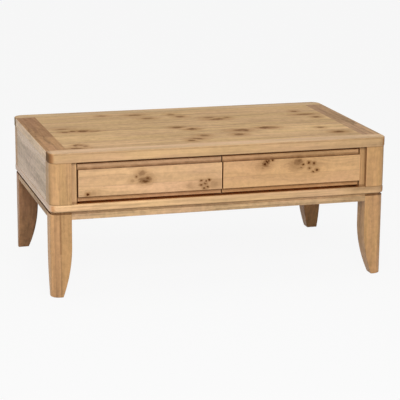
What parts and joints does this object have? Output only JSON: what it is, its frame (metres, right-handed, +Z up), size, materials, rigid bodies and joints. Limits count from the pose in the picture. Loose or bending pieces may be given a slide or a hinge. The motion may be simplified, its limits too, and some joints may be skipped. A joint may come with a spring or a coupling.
{
  "type": "coffee table with drawers",
  "caption": "Low rectangular oak coffee table with rounded corners, handleless drawers side by side, a moulded waist and curved legs.",
  "frame": {"origin": "on the floor under the middle of the top", "axes": "+Z up, +X along the table to the right seen from the drawers, -Y towards the drawer fronts"},
  "size_m": [1.1, 0.65, 0.455],
  "materials": {
    "oak_frame": "satin oiled oak",
    "oak_field": "satin oiled knotty oak",
    "oak_top_rail": "satin oiled oak",
    "oak_end_board": "satin oiled oak",
    "oak_drawer_front": "satin oiled knotty oak",
    "oak_inside": "planed oak",
    "oak_drawer_box": "planed oak",
    "drawer_plywood": "sanded plywood",
    "zinc_steel": "zinc plated"
  },
  "bodies": {
    "case": {"back_panel": "oak_frame", "base_frame_front": "oak_frame", "base_frame_left": "oak_frame", "base_frame_rear": "oak_frame", "base_frame_right": "oak_frame", "case_dowels": "oak_inside", "centre_divider": "oak_inside", "corner_block_screws": "zinc_steel", "corner_blocks": "oak_inside", "front_apron": "oak_frame", "front_left_leg": "oak_frame", "front_left_post": "oak_frame", "front_right_leg": "oak_frame", "front_right_post": "oak_frame", "front_tie_rail": "oak_inside", "guide_screws": "zinc_steel", "left_apron": "oak_frame", "left_drawer_guide": "oak_inside", "left_end_panel": "oak_frame", "left_inner_runner": "oak_inside", "left_outer_runner": "oak_inside", "left_stile": "oak_frame", "left_top_cleat": "oak_inside", "leg_bolts": "zinc_steel", "leg_nuts": "zinc_steel", "leg_washers": "zinc_steel", "rear_apron": "oak_frame", "rear_left_leg": "oak_frame", "rear_left_post": "oak_frame", "rear_right_leg": "oak_frame", "rear_right_post": "oak_frame", "rear_tie_rail": "oak_inside", "right_apron": "oak_frame", "right_drawer_guide": "oak_inside", "right_end_panel": "oak_frame", "right_inner_runner": "oak_inside", "right_outer_runner": "oak_inside", "right_stile": "oak_frame", "right_top_cleat": "oak_inside", "runner_screws": "zinc_steel", "top_field_panel": "oak_field", "top_front_rail": "oak_top_rail", "top_left_end_board": "oak_end_board", "top_rear_rail": "oak_top_rail", "top_right_end_board": "oak_end_board", "top_screws": "zinc_steel"},
    "left_drawer": {"left_drawer_back": "oak_drawer_box", "left_drawer_bottom": "drawer_plywood", "left_drawer_front": "oak_drawer_front", "left_drawer_inner_side": "oak_drawer_box", "left_drawer_outer_side": "oak_drawer_box", "left_drawer_screws": "zinc_steel", "left_drawer_stop_block": "oak_drawer_box"},
    "right_drawer": {"right_drawer_back": "oak_drawer_box", "right_drawer_bottom": "drawer_plywood", "right_drawer_front": "oak_drawer_front", "right_drawer_inner_side": "oak_drawer_box", "right_drawer_outer_side": "oak_drawer_box", "right_drawer_screws": "zinc_steel", "right_drawer_stop_block": "oak_drawer_box"}
  },
  "joints": [
    {"name": "left_drawer_slide", "type": "slide", "parent": "case", "child": "left_drawer", "axis": [0, -1, 0], "range_m": [0, 0.38]},
    {"name": "right_drawer_slide", "type": "slide", "parent": "case", "child": "right_drawer", "axis": [0, -1, 0], "range_m": [0, 0.38]}
  ]
}
